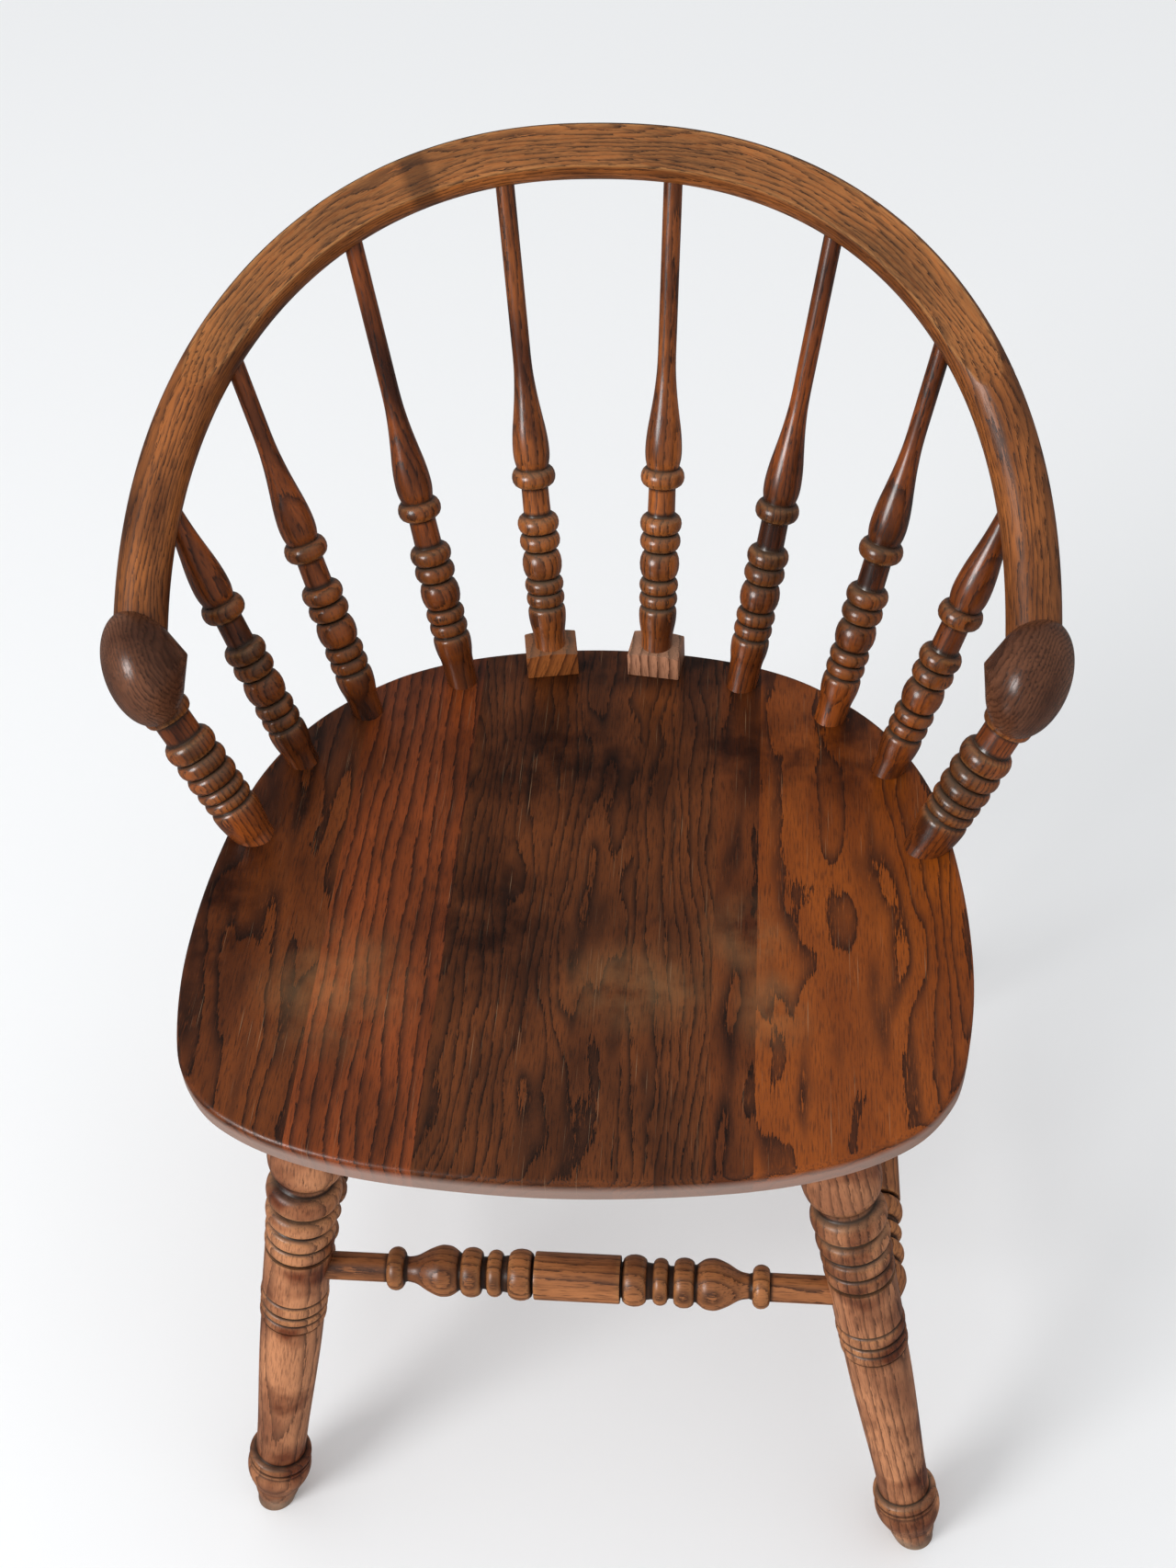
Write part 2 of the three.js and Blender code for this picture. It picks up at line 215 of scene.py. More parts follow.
def stained_oak(
        name, light, stain, pore_colour, ring=6.0, band=0.4, wander=18, dust=0.0, gloss=0.28,
        varnish=0.0):
    """Ring-porous oak under stain and satin varnish.

    Each annual ring, given in mm, starts with a crowded band of pores, which the stain fills dark.
    The pores are short dashes along the grain. The stain lies in broad clouds, the varnish is
    rubbed through on sharp edges, which are also painted lighter as a highlight, grime and painted
    shade darken the grooves, and dust lies on the ledges. A thicker coat of varnish gives small,
    bright highlights.
    """
    material = bpy.data.materials.new(name)
    material.use_nodes = True
    tree = material.node_tree
    shader = tree.nodes["Principled BSDF"]
    shader.inputs["Specular IOR Level"].default_value = VARNISH_SPECULAR
    shader.inputs["Coat Weight"].default_value = varnish
    shader.inputs["Coat Roughness"].default_value = COAT_ROUGHNESS
    place = add(tree, "ShaderNodeAttribute", attribute_name="blank").outputs["Vector"]
    # Annual rings wander by a few millimetres over a hand's length of timber
    slow = add(
        tree, "ShaderNodeMapping", {"Vector": place, "Scale": [1 / size for size in RING_BENDS]})
    growth = add(tree, "ShaderNodeTexNoise", {"Vector": slow.outputs[0], "Scale": 1, "Detail": 2})
    offset = add(
        tree, "ShaderNodeVectorMath", {0: growth.outputs["Color"], 1: (0.5, 0.5, 0.5)},
        operation="SUBTRACT")
    bent = add(
        tree, "ShaderNodeVectorMath", {0: offset.outputs[0], 1: (wander, wander, 0), 2: place},
        operation="MULTIPLY_ADD")
    across = add(
        tree, "ShaderNodeVectorMath", {0: bent.outputs[0], 1: (1, 1, 0)}, operation="MULTIPLY")
    from_pith = add(tree, "ShaderNodeVectorMath", {0: across.outputs[0]}, operation="LENGTH")
    # Pores crowd into a fingered, broken line in the early wood and fleck the late wood thinly
    fine = add(
        tree, "ShaderNodeMapping", {"Vector": place, "Scale": [1 / size for size in PORES]})
    pores = add(
        tree, "ShaderNodeTexNoise",
        {"Vector": fine.outputs[0], "Scale": 1, "Detail": 3, "Roughness": 0.62})
    fingered = add(
        tree, "ShaderNodeMath", {0: pores.outputs[0], 1: RING_FINGERS, 2: from_pith.outputs["Value"]},
        operation="MULTIPLY_ADD")
    years = add(tree, "ShaderNodeMath", {0: fingered.outputs[0], 1: ring}, operation="DIVIDE")
    season = add(tree, "ShaderNodeMath", {0: years.outputs[0]}, operation="FRACT")
    early = add(
        tree, "ShaderNodeMapRange", {"Value": season.outputs[0], "From Min": band, "From Max": 0})
    crowd = add(
        tree, "ShaderNodeMapRange", {"Value": pores.outputs[0], "From Min": 0.3, "From Max": 0.5})
    line = add(
        tree, "ShaderNodeMath", {0: early.outputs[0], 1: crowd.outputs[0]}, operation="MULTIPLY")
    fleck = add(
        tree, "ShaderNodeMapRange",
        {"Value": pores.outputs[0], "From Min": 0.48, "From Max": 0.68, "To Max": 0.65})
    grain = add(
        tree, "ShaderNodeMath", {0: line.outputs[0], 1: fleck.outputs[0]}, operation="MAXIMUM")
    # Clouds of darker stain, a few centimetres across and longer along the grain
    wide = add(
        tree, "ShaderNodeMapping", {"Vector": place, "Scale": [1 / size for size in STAIN_CLOUDS]})
    cloud = add(tree, "ShaderNodeTexNoise", {"Vector": wide.outputs[0], "Scale": 1, "Detail": 5})
    cloudy = add(
        tree, "ShaderNodeMapRange", {"Value": cloud.outputs[0], "From Min": 0.36, "From Max": 0.66})
    ground = add(
        tree, "ShaderNodeMix",
        {0: cloudy.outputs[0], MIX_A: srgb(light), MIX_B: srgb(stain)}, data_type="RGBA")
    # Crests are painted lighter: rubbed varnish and a painted highlight
    crest = add(tree, "ShaderNodeAttribute", attribute_name="crest").outputs["Fac"]
    rubbed_and_lit = add(tree, "ShaderNodeMath", {0: crest, 1: crowd.outputs[0]}, operation="MULTIPLY")
    bright = add(
        tree, "ShaderNodeMix",
        {0: rubbed_and_lit.outputs[0], MIX_A: ground.outputs[MIX_RESULT], MIX_B: srgb(RUBBED_OAK_AND_HIGHLIGHT)},
        data_type="RGBA")
    wood = add(
        tree, "ShaderNodeMix",
        {0: grain.outputs[0], MIX_A: bright.outputs[MIX_RESULT], MIX_B: srgb(pore_colour)},
        data_type="RGBA")
    # Grooves are painted darker: grime and painted shade
    groove = add(tree, "ShaderNodeAttribute", attribute_name="groove").outputs["Fac"]
    grimed_and_shaded = add(
        tree, "ShaderNodeMix",
        {0: groove, MIX_A: wood.outputs[MIX_RESULT], MIX_B: srgb(GROOVE_GRIME_AND_SHADE)}, data_type="RGBA")
    ledge = add(tree, "ShaderNodeAttribute", attribute_name="ledge").outputs["Fac"]
    settled = add(
        tree, "ShaderNodeMapRange",
        {"Value": ledge, "From Min": 0.5, "From Max": 0.9, "To Max": 1.6 * dust})
    dusted = add(
        tree, "ShaderNodeMath", {0: settled.outputs[0], 1: cloud.outputs[0]}, operation="MULTIPLY")
    colour = add(
        tree, "ShaderNodeMix",
        {0: dusted.outputs[0], MIX_A: grimed_and_shaded.outputs[MIX_RESULT], MIX_B: srgb(DUST)},
        data_type="RGBA")
    tree.links.new(colour.outputs[MIX_RESULT], shader.inputs["Base Color"])
    sheen = add(
        tree, "ShaderNodeMath", {0: grain.outputs[0], 1: 0.15, 2: gloss}, operation="MULTIPLY_ADD")
    dull = add(
        tree, "ShaderNodeMath", {0: dusted.outputs[0], 1: 0.4, 2: sheen.outputs[0]},
        operation="MULTIPLY_ADD")
    tree.links.new(dull.outputs[0], shader.inputs["Roughness"])
    height = add(
        tree, "ShaderNodeBump", {"Height": grain.outputs[0], "Strength": 0.3, "Distance": PORE_DEPTH},
        invert=True)
    tree.links.new(height.outputs[0], shader.inputs["Normal"])
    return material


def overlay(material, mask, colour, blend="MIX"):
    """Lays one more colour over a wood, where the mask is 1."""
    tree = material.node_tree
    base = tree.nodes["Principled BSDF"].inputs["Base Color"]
    under = base.links[0].from_socket
    mix = add(
        tree, "ShaderNodeMix", {0: mask, MIX_A: under, MIX_B: srgb(colour)}, data_type="RGBA",
        blend_type=blend)
    tree.links.new(mix.outputs[MIX_RESULT], base)


# Thin, scuffed varnish over brown stain, dull to the eye; the floor has rubbed the toes pale, up to
# a ragged line
TOE_WORN_BELOW = 24 * MM
SCUFFS_PER_METRE = 90
leg_oak = stained_oak("scuffed_oak_legs", "#be8058", "#835035", "#54321f", ring=6, dust=0.45)
leg_tree = leg_oak.node_tree
leg_place = add(leg_tree, "ShaderNodeTexCoord").outputs["Object"]
leg_height = add(leg_tree, "ShaderNodeSeparateXYZ", {0: leg_place}).outputs["Z"]
scuffs = add(
    leg_tree, "ShaderNodeTexNoise", {"Vector": leg_place, "Scale": SCUFFS_PER_METRE, "Detail": 3})
ragged = add(
    leg_tree, "ShaderNodeMath", {0: scuffs.outputs[0], 1: TOE_WORN_BELOW, 2: leg_height},
    operation="MULTIPLY_ADD")
toe = add(
    leg_tree, "ShaderNodeMapRange",
    {"Value": ragged.outputs[0], "From Min": 1.3 * TOE_WORN_BELOW, "From Max": 0.6 * TOE_WORN_BELOW,
     "To Max": 0.75})
overlay(leg_oak, toe.outputs[0], "#8f7c69")
# The stain has bled into darker patches, a few centimetres across
BLED_STAIN = 45 * MM
patches = add(
    leg_tree, "ShaderNodeTexNoise", {"Vector": leg_place, "Scale": 1 / BLED_STAIN, "Detail": 4})
bled = add(
    leg_tree, "ShaderNodeMapRange", {"Value": patches.outputs[0], "From Min": 0.46, "From Max": 0.64})
overlay(leg_oak, bled.outputs[0], "#9c7a68", "MULTIPLY")
# Sizes of a leg in mm: the tenon's radius and length, the length that the floor's cut takes off, and
# for each leg the place of its top and foot and how far it was driven in or left proud
LEG_TENON = 15
LEG_TENON_LENGTH = 14
LEG_SPARE = 8
LEGS = {
    "front_left": {"top": (-155, -190), "foot": (-230.2, -263), "proud": -2.5},
    "front_right": {"top": (155, -190), "foot": (230.2, -270.2), "proud": 2.5},
    "rear_left": {"top": (-145, 80), "foot": (-227.5, 182), "proud": 0},
    "rear_right": {"top": (145, 80), "foot": (227.5, 182), "proud": 0},
}


def leg_runs(length):
    """A leg's outline down from the seat: bulb, beads, plain band, beads, taper, ring and toe."""
    return [
        [(-LEG_TENON_LENGTH, LEG_TENON)],
        flowing((6, LEG_TENON), (13, 19), (34, 22.4), (56, 25), (66, 25.2), (74, 23.6), (79, 20.6)),
        flowing((80, 18.6), (83.5, 17.2), (87, 18.6)),
        bead(87.6, 105.5, 19.4, 24.4, 19.6),
        flowing((105.8, 18.6), (107, 18), (108.2, 18.6)),
        bead(108.6, 122, 19.6, 23.8, 20.4),
        flowing((122.4, 20), (123.8, 19.4), (125.2, 20)),
        bead(125.6, 136.3, 20.8, 23, 21),
        [(136.7, 19.6), (137.4, 19.6)],
        bead(137.8, 148.6, 20.8, 22.9, 21),
        [(149, 19.7), (150.6, 19.7), (151, 22.2), (189.4, 22.1), (189.8, 19.7), (190.8, 19.7)],
        bead(191.2, 201.6, 20.8, 22.8, 20.8),
        [(202, 19.6), (202.8, 19.6)],
        bead(203.2, 209.6, 20.6, 22.4, 20.6),
        [(210, 19.6)],
        bead(210.2, 218.6, 20.4, 22.4, 19.6),
        flowing((219, 21.2), (249, 20.9), (281, 20), (314, 18.8), (341, 17.9), (369, 17.5)),
        bead(369.4, 377, 17.8, 22, 21),
        [(377.4, 20.6), (378, 21.9), (379.4, 21.9), (380, 20.8)],
        flowing((380.4, 21.3), (384, 22.4), (388, 22.6), (393, 22), (399, 20.2), (405, 17.9)),
        flowing((405.4, 16.9), (409, 16.6), (416, 15.3), (423, 13.7), (length, 13)),
    ]


leg_axes = {}
for number, (name, leg) in enumerate(LEGS.items()):
    foot = Vector((*leg["foot"], 0)) * MM
    under_seat = Vector((leg["top"][0] * MM, leg["top"][1] * MM, SEAT_UNDERSIDE))
    direction = (foot - under_seat).normalized()
    top = under_seat + direction * leg["proud"] * MM
    leg_axes[name] = top, direction
    # Each leg comes from another place in the timber, so that no two have the same grain
    builder = turning(
        leg_runs((foot - top).length / MM + LEG_SPARE),
        timber(0.9 + 1.3 * number, (24, 30 + 7 * number, 500 * number)))
    place = axis_place(top, foot)
    level = (place.to_3x3().inverted() @ Vector((0, 0, 1))).normalized()
    cut = bmesh.ops.bisect_plane(
        builder, geom=builder.verts[:] + builder.edges[:] + builder.faces[:],
        plane_co=place.inverted() @ foot, plane_no=level, clear_inner=True)
    rim = [part for part in cut["geom_cut"] if isinstance(part, bmesh.types.BMEdge)]
    bmesh.ops.contextual_create(builder, geom=rim)
    finish_piece(f"oak_leg_{name}", builder, place, f"leg_{name}", leg_oak)

# Stretchers: turned oak rails that tie the legs, with a plain barrel in the middle.
# Their plain ends are glued into the legs; the side ones sit lower, and are drawn out longer.
STRETCHER_PLACES = {"cross": 170.5 * MM, "side": 295 * MM}
# In mm: the radius of the plain ends, how far the tips stop short of the legs' axes, and the half
# length for which the pattern is drawn
STRETCHER_END = 9.2
STRETCHER_TIP_GAP = 8
STRETCHER_PATTERN = 177
# Brown stain under whole satin varnish: redder and clearer to the eye than the scuffed legs
stretcher_oak = stained_oak("stained_oak_stretchers", "#ae6f42", "#764527", "#391d0f", ring=5)


def stretcher_runs(half_length):
    """A stretcher's outline from end to end: half the pattern, drawn out to length and mirrored."""
    half = [
        [(-STRETCHER_PATTERN, STRETCHER_END), (-124.5, STRETCHER_END)],
        bead(-124.3, -113, 10, 14.1, 8.6),
        flowing(
            (-111, 8), (-105, 9.3), (-97.5, 13.5), (-91, 16.2), (-87, 16.6), (-82, 15.6),
            (-76.8, 11.9)),
        bead(-75.8, -62.5, 12, 16.1, 12),
        [(-62.3, 10.4), (-59.7, 10.4)],
        bead(-58.6, -49, 11.5, 15.2, 11.5),
        [(-47.7, 11.5)],
        bead(-45, -29.1, 12, 16.6, 12),
        [(-29, 11.4), (-28.2, 11.4), (-27.8, 15.2), (-27, 15.5)],
    ]
    stretch = half_length / STRETCHER_PATTERN
    points = [(place * stretch, radius) for run in half for place, radius in run]
    return [points, [(-place, radius) for place, radius in reversed(points)]]


STRETCHERS = {
    "front": ("front_left", "front_right", "cross"),
    "rear": ("rear_left", "rear_right", "cross"),
    "left": ("front_left", "rear_left", "side"),
    "right": ("front_right", "rear_right", "side"),
}
for number, (name, (first, second, row)) in enumerate(STRETCHERS.items()):
    start, end = [
        leg_axes[leg][0] + leg_axes[leg][1] * STRETCHER_PLACES[row] for leg in (first, second)]
    half_length = (end - start).length / 2 / MM - STRETCHER_TIP_GAP
    rail = turning(
        stretcher_runs(half_length), timber(1.1 * number, (16, 22 + 9 * number, 400 * number)))
    finish_piece(
        f"oak_stretcher_{name}", rail, axis_place(start.lerp(end, 0.5), end), f"stretcher_{name}",
        stretcher_oak)

# Seat: oak boards edge-glued front to back, sawn to shape, the upper edge rounded over and the
# lower edge chamfered. Darker clouds, partly stain and partly painted shade, lie over the rear, and
# years of sitting rubbed the varnish dull in front of the middle. The boards were sawn from
# different logs, so each has its own grain.
SEAT_ROUND = 4 * MM
SEAT_CHAMFER_HEIGHT = 13 * MM
SEAT_CHAMFER_WIDTH = 18 * MM
SEAT_HALF_OUTLINE = [
    (0, -275), (93, -269), (156, -256), (200, -236), (224, -212), (237, -181), (245, -119),
    (242, -42), (227.5, 36), (198.5, 92), (157, 132), (114.5, 154.5), (62, 167.5), (0, 172.5),
]
# Oak boards under dark stain and worn satin varnish: straight and red, fine and nearly black, or
# flamed, where the saw went along the rings
seat_woods = {
    "red": stained_oak("straight_red_oak_board", "#8b4119", "#642e10", "#210e07", ring=8.5, band=0.5),
    "dark": stained_oak("dark_stained_oak_board", "#6e3917", "#47230e", "#160a05", ring=5.2, wander=40),
    "brown flame": stained_oak(
        "dark_flamed_oak_board", "#733914", "#4e240d", "#1a0b05", ring=8, band=0.5, wander=45),
    "flame": stained_oak(
        "flamed_oak_board", "#954a13", "#7b3a0f", "#321608", ring=9, band=0.45, wander=50),
}
# Each board: its right edge, its log's centre across and below the seat top, its place along, its wood
SEAT_BOARDS = [
    (-159, (-205, 60), 90, "brown flame"),
    (-82, (-330, 60), 0, "red"),
    (33, (16, 60), 310, "dark"),
    (57, (120, 60), 720, "dark"),
    (86, (-20, 45), 950, "dark"),
    (113, (101, 120), 1300, "brown flame"),
    (300, (155, 120), 1630, "flame"),
]
# Clouds on the seat top, each with its middle and its reach across and along, in mm
# Darker clouds, partly stain and partly painted shade over the rear, under the spindles and the bow
DARK_STAIN_AND_SHADE = [
    (-26, 60, 105, 75), (-56, -82, 62, 80), (95, 70, 60, 60), (-232, -70, 40, 150),
    (30, 150, 200, 30), (165, 70, 95, 65),
]
RUBBED_DULL = [
    (-145, -140, 60, 65), (42, -133, 60, 42), (106, -90, 34, 40), (124, -145, 30, 42),
]
SMUDGES_PER_METRE = 32
SCRATCH_WIDTH, SCRATCH_LENGTH = 0.5 * MM, 60 * MM
SCRATCH_SLANT = math.radians(7)
# Below the seat top, where the painted reflection on the sawn edge starts and where it is full
EDGE_REFLECTION_STARTS, EDGE_REFLECTION_FULL = 3 * MM, 9 * MM
for wood in seat_woods.values():
    tree = wood.node_tree
    spot = add(tree, "ShaderNodeTexCoord").outputs["Object"]
    smudge = add(
        tree, "ShaderNodeTexNoise",
        {"Vector": spot, "Scale": SMUDGES_PER_METRE, "Detail": 5, "Roughness": 0.6})
    # Darker clouds of stain and painted shade, then paler rubbed patches
    for clouds, blend, colour in (
            (DARK_STAIN_AND_SHADE, "MULTIPLY", "#8d837b"), (RUBBED_DULL, "SCREEN", "#573f26")):
        strongest = None
        for x, y, reach_x, reach_y in clouds:
            centred = add(
                tree, "ShaderNodeMapping",
                {"Vector": spot, "Location": (x * MM, y * MM, SEAT_TOP),
                 "Scale": (reach_x * MM, reach_y * MM, SEAT_THICKNESS)}, vector_type="TEXTURE")
            away = add(tree, "ShaderNodeVectorMath", {0: centred.outputs[0]}, operation="LENGTH")
            near = add(
                tree, "ShaderNodeMapRange",
                {"Value": away.outputs["Value"], "From Min": 1.1, "From Max": 0.1},
                interpolation_type="SMOOTHSTEP").outputs[0]
            if strongest:
                near = add(
                    tree, "ShaderNodeMath", {0: strongest, 1: near}, operation="MAXIMUM").outputs[0]
            strongest = near
        uneven = add(
            tree, "ShaderNodeMapRange",
            {"Value": smudge.outputs[0], "From Min": 0.3, "From Max": 0.6})
        mask = add(tree, "ShaderNodeMath", {0: strongest, 1: uneven.outputs[0]}, operation="MULTIPLY")
        overlay(wood, mask.outputs[0], colour, blend)
    # Fine pale scratches run a little askew to the grain
    askew = add(
        tree, "ShaderNodeMapping",
        {"Vector": spot, "Rotation": (0, 0, SCRATCH_SLANT),
         "Scale": (1 / SCRATCH_WIDTH, 1 / SCRATCH_LENGTH, 1)})
    streaks = add(tree, "ShaderNodeTexNoise", {"Vector": askew.outputs[0], "Scale": 1, "Detail": 1})
    scratches = add(
        tree, "ShaderNodeMapRange",
        {"Value": streaks.outputs[0], "From Min": 0.72, "From Max": 0.8, "To Max": 0.5})
    overlay(wood, scratches.outputs[0], "#a98a68")
    # The edge below the rounded top is painted grey and lighter: a painted reflection of the bright
    # floor
    height = add(tree, "ShaderNodeSeparateXYZ", {0: spot}).outputs["Z"]
    painted_edge_reflection = add(
        tree, "ShaderNodeMapRange",
        {"Value": height, "From Min": SEAT_TOP - EDGE_REFLECTION_STARTS,
         "From Max": SEAT_TOP - EDGE_REFLECTION_FULL, "To Max": 0.7})
    overlay(wood, painted_edge_reflection.outputs[0], "#a38b80")

# The outline is closed by running past its ends by two corners, and cut back after it is rounded
left_half = [(-x, y) for x, y in reversed(SEAT_HALF_OUTLINE[1:-1])]
corners = SEAT_HALF_OUTLINE + left_half
OUTLINE_STEPS = 8
turns = flowing(*(corners[-2:] + corners + corners[:3]), steps=OUTLINE_STEPS)
seat = bmesh.new()
seat_low = SEAT_UNDERSIDE + SEAT_CHAMFER_HEIGHT
for x, y in turns[2 * OUTLINE_STEPS:-2 * OUTLINE_STEPS - 1]:
    seat.verts.new((x * MM, y * MM, seat_low))
under = seat.faces.new(seat.verts)
raised = bmesh.ops.extrude_face_region(seat, geom=[under], use_keep_orig=True)
upper = [part for part in raised["geom"] if isinstance(part, bmesh.types.BMVert)]
bmesh.ops.translate(seat, verts=upper, vec=(0, 0, SEAT_TOP - seat_low))
bmesh.ops.recalc_face_normals(seat, faces=seat.faces)
bottom = [face for face in seat.faces if face.normal.z < -0.9]
bmesh.ops.inset_region(
    seat, faces=bottom, thickness=SEAT_CHAMFER_WIDTH, depth=SEAT_CHAMFER_HEIGHT)
rim = [edge for edge in seat.edges if all(vert.co.z > SEAT_TOP - MM for vert in edge.verts)]
bmesh.ops.bevel(
    seat, geom=rim, offset=SEAT_ROUND, offset_type="OFFSET", affect="EDGES", segments=5,
    profile=0.5, material=-1)
for right_edge, _, _, _ in SEAT_BOARDS[:-1]:
    bmesh.ops.bisect_plane(
        seat, geom=seat.verts[:] + seat.edges[:] + seat.faces[:],
        plane_co=(right_edge * MM, 0, 0), plane_no=(1, 0, 0))
seat_blank = seat.loops.layers.float_vector.new("blank")
wood_numbers = {wood: number for number, wood in enumerate(seat_woods)}
for face in seat.faces:
    across = face.calc_center_median().x / MM
    _, (pith_x, pith_depth), along, wood = next(b for b in SEAT_BOARDS if across < b[0])
    face.material_index = wood_numbers[wood]
    for loop in face.loops:
        x, y, z = loop.vert.co / MM
        loop[seat_blank] = (x - pith_x, z - SEAT_TOP / MM + pith_depth, y + along)
finish_piece("oak_seat", seat, Matrix.Identity(4), "seat", seat_woods["red"])
for wood in list(seat_woods.values())[1:]:
    bpy.data.objects["oak_seat"].data.materials.append(wood)

# Blocks: two small oak blocks with a crowned top, glued near the rear edge of the seat and
# turned to face the sitter. They lift the two middle spindles; their tops have gone grey with dust.
BLOCK_WIDTH, BLOCK_DEPTH, BLOCK_HEIGHT = 36 * MM, 26 * MM, 21 * MM
BLOCK_CROWN = 2 * MM
BLOCK_PLACES = {"left": (-34.7 * MM, 155 * MM), "right": (39.1 * MM, 155 * MM)}
BLOCK_TURN = math.radians(8.3)
BLOCK_ARC_STEPS = 8
BLOCK_SOFTENED = 0.8 * MM
BLOCK_SHARP_OVER = math.radians(40)
SIDES = {"left": -1, "right": 1}
# The grain stands upright, leaning by these degrees, and the log's centre lies beside the block, in mm
BLOCK_GRAIN_LEAN = {"left": -18, "right": 2}
BLOCK_FROM_PITH = (60, 8, 100)
# Plain-sawn oak under thin stain, with bold stripes; the left block took more stain
BLOCK_COLOURS = {"left": ("#a5602f", "#8a4d26"), "right": ("#b98263", "#9a674d")}
for side_name, side in SIDES.items():
    light, stain = BLOCK_COLOURS[side_name]
    block_oak = stained_oak(
        f"striped_oak_block_{side_name}", light, stain, "#3a1b0e", ring=7.5, band=0.5, dust=0.5)
    block = bmesh.new()
    section = [(-BLOCK_WIDTH / 2, 0), (BLOCK_WIDTH / 2, 0)]
    for step in range(BLOCK_ARC_STEPS + 1):
        share = 1 - 2 * step / BLOCK_ARC_STEPS
        section.append((share * BLOCK_WIDTH / 2, BLOCK_HEIGHT - BLOCK_CROWN * share * share))
    front = block.faces.new([block.verts.new((x, -BLOCK_DEPTH / 2, z)) for x, z in section])
    pushed = bmesh.ops.extrude_face_region(block, geom=[front], use_keep_orig=True)
    back = [part for part in pushed["geom"] if isinstance(part, bmesh.types.BMVert)]
    bmesh.ops.translate(block, verts=back, vec=(0, BLOCK_DEPTH, 0))
    bmesh.ops.recalc_face_normals(block, faces=block.faces)
    sharp = [edge for edge in block.edges if edge.calc_face_angle(0) > BLOCK_SHARP_OVER]
    bmesh.ops.bevel(
        block, geom=sharp, offset=BLOCK_SOFTENED, offset_type="OFFSET", affect="EDGES",
        segments=2, profile=0.5, material=-1)
    block_blank = block.loops.layers.float_vector.new("blank")
    lean = Matrix.Rotation(math.radians(BLOCK_GRAIN_LEAN[side_name]), 3, "Y")
    shift_x, shift_y, shift_z = BLOCK_FROM_PITH
    for face in block.faces:
        for loop in face.loops:
            x, y, z = lean @ (loop.vert.co / MM)
            loop[block_blank] = (x + shift_x, y + shift_y * side, z + shift_z * side)
    place = Matrix.Translation((*BLOCK_PLACES[side_name], SEAT_TOP))
    finish_piece(
        f"oak_block_{side_name}", block, place @ Matrix.Rotation(-side * BLOCK_TURN, 4, "Z"),
        f"block_{side_name}", block_oak)

# Spindles: eight turned oak rods between seat and bow, all of one pattern: plug, beads, ball,
# rings, neck, collar, and a vase that thins out to the head in the bow. Grime lines their grooves.

# The bow's centre line, which the heads meet: half of a superellipse on a sloping plane
BOW_HALF_WIDTH = 278 * MM
BOW_DEPTH = 233.4 * MM
BOW_CENTRE_Y = 35 * MM
BOW_CENTRE_HEIGHT = 578 * MM
BOW_SLOPE = 0.844
BOW_SQUARENESS = {"left": 2.18, "right": 2.28}
# Feet on the seat or the block and heads across the bow in mm, from the middle outwards
SPINDLE_FEET = {
    "left": [(-35.3, 156), (-97.6, 138.3), (-160.8, 106.2), (-198.7, 57.4)],
    "right": [(39.7, 156), (99.6, 138.3), (160.8, 106.2), (198.7, 57.4)],
}
SPINDLE_HEADS = {"left": [-55.3, -153.7, -229.8, -269], "right": [53.3, 156.4, 226.6, 269.6]}
SPINDLE_BALL_HEIGHTS = [59, 67.5, 64, 60]
SPINDLE_FOOT = 10.7
SPINDLE_TENON_LENGTH = 12
SPINDLE_HEAD = 6
# Oak under brown stain and a thicker varnish, which gives the beads small highlights. The two middle
# spindles are coloured paler than the turnings at the sides, partly as less stain and partly as a
# painted stand-in for the brighter light on them, and they hold more dust.
pale_turned_oak = stained_oak(
    "satin_oak_turnings", "#b0622b", "#582a12", "#1a0b06", ring=4, dust=0.5, gloss=0.24,
    varnish=0.5)
dark_turned_oak = stained_oak(
    "dark_satin_oak_turnings", "#92491b", "#3f1c0b", "#150805", ring=4, dust=0.3, gloss=0.24,
    varnish=0.5)


def bow_point(x):
    """A point on the bow's centre line at a given x, between the left arm and the right arm."""
    power = BOW_SQUARENESS["left" if x < 0 else "right"]
    reach = min(1, abs(x) / BOW_HALF_WIDTH)
    rise = BOW_DEPTH * (1 - reach ** power) ** (1 / power)
    return Vector((x, BOW_CENTRE_Y + rise, BOW_CENTRE_HEIGHT + BOW_SLOPE * rise))


def spindle_runs(ball, length):
    """A spindle's outline up from its foot; the beads and the vase are set out from the ball."""
    return [
        [(-SPINDLE_TENON_LENGTH, SPINDLE_FOOT)],
        flowing(
            (0, SPINDLE_FOOT), (ball - 52, 11.1), (ball - 43.6, 12.5), (ball - 37.4, 13),
            (ball - 33.2, 12.6), (ball - 31, 10.8)),
        bead(ball - 30.6, ball - 20.8, 10.4, 13.2, 10.2),
        bead(ball - 20.8, ball - 10.4, 10.2, 13.4, 9.6),
        bead(ball - 10.4, ball + 9.9, 9.4, 13.6, 8.4),
        bead(ball + 9.9, ball + 22.6, 8.6, 13.9, 9.8),
        bead(ball + 22.6, ball + 35.3, 9.8, 14.2, 9.6),
        [(ball + 37, 9.3), (ball + 55, 9.1)],
        bead(ball + 55.5, ball + 68.5, 9.4, 14.8, 10.8),
        flowing(
            (ball + 70.6, 11.2), (ball + 74.7, 12), (ball + 80, 12.3), (ball + 87, 12),
            (ball + 95.5, 11.1), (ball + 106, 9.5), (ball + 119, 7.7), (ball + 133, 6.4),
            (ball + 145, SPINDLE_HEAD)),
        [(length, SPINDLE_HEAD)],
    ]


